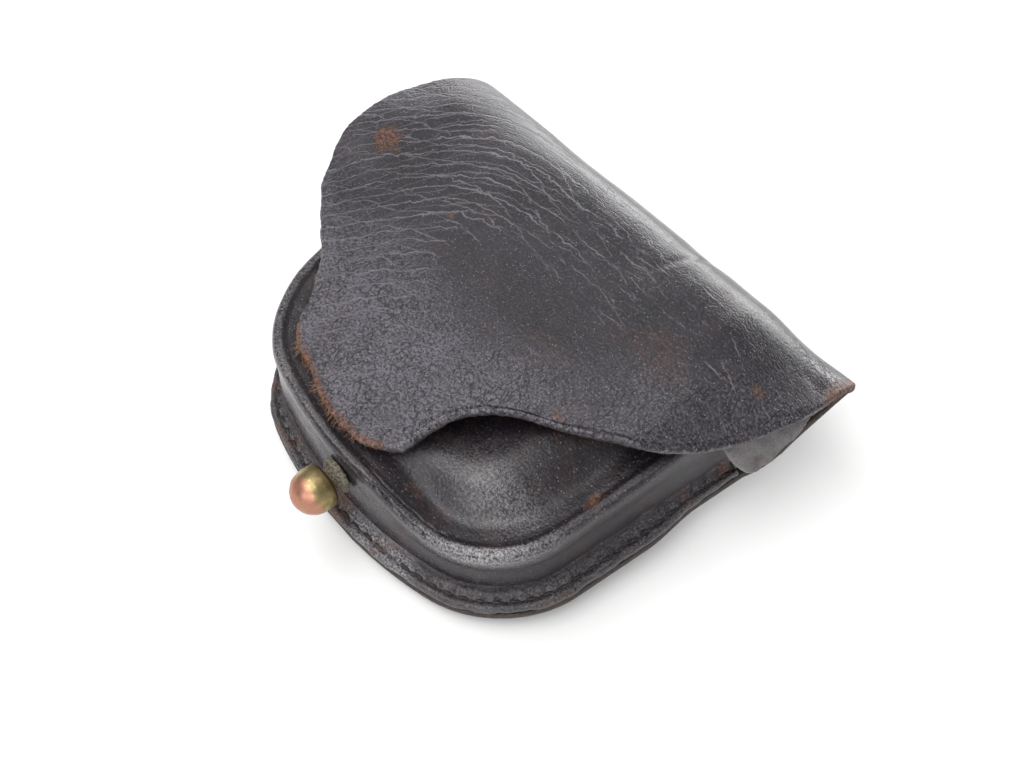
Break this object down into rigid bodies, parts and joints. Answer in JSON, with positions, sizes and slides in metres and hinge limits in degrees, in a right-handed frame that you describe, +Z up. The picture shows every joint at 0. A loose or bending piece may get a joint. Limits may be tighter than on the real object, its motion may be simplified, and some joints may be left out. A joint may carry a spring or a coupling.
{
  "type": "belt pouch",
  "caption": "Small worn black leather belt pouch lying on its back, with a folded torn flap, an eared inner flap, a moulded stitched front and a brass stud; holds caps or coins.",
  "frame": {"origin": "centre of the bounding box's bottom face, on the table", "axes": "+X across the pouch, +Y from the stud towards the fold, +Z up, away from the wearer"},
  "size_m": [0.087, 0.0756, 0.0312],
  "materials": {
    "bridle_leather": "worn black, satin, crazed",
    "lining_leather": "light leather, grey-black, matt",
    "fleece": "aged sheepskin pile",
    "thread": "waxed linen, blackened",
    "brass": "tarnished, polished at the nose",
    "copper": "tarnished copper rivet"
  },
  "bodies": {
    "pouch": {"back_panel": "bridle_leather", "front_shell": "bridle_leather", "rim_thread": "thread", "inner_flap_hem": "lining_leather", "hem_thread": "thread", "fleece_strip": "fleece", "stud": "brass", "stud_burr": "brass", "belt_loop_left": "bridle_leather", "loop_thread_low_left": "thread", "loop_thread_high_left": "thread", "loop_rivet_left": "copper", "loop_burr_left": "copper", "belt_loop_right": "bridle_leather", "loop_thread_low_right": "thread", "loop_thread_high_right": "thread", "loop_rivet_right": "copper", "loop_burr_right": "copper"},
    "fold": {"fold_spine": "bridle_leather"},
    "flap": {"outer_flap": "bridle_leather"},
    "inner": {"inner_flap": "lining_leather", "inner_ear_left": "lining_leather", "inner_ear_right": "lining_leather"}
  },
  "joints": [
    {"name": "fold_lower", "type": "hinge", "parent": "pouch", "child": "fold", "pos_m": [0.00001, 0.03533, 0.01234], "axis": [-1, 0, 0], "range_deg": [0, 70]},
    {"name": "fold_upper", "type": "hinge", "parent": "fold", "child": "flap", "pos_m": [0.00001, 0.03345, 0.02878], "axis": [-1, 0, 0], "range_deg": [0, 70]},
    {"name": "inner_fold", "type": "hinge", "parent": "pouch", "child": "inner", "pos_m": [0.00001, 0.03222, 0.01331], "axis": [-1, 0, 0], "range_deg": [0, 53]}
  ],
  "couplings": [
    {"joint": "fold_upper", "follows": "fold_lower", "ratio": 1},
    {"joint": "inner_fold", "follows": "fold_lower", "ratio": 0.75}
  ]
}
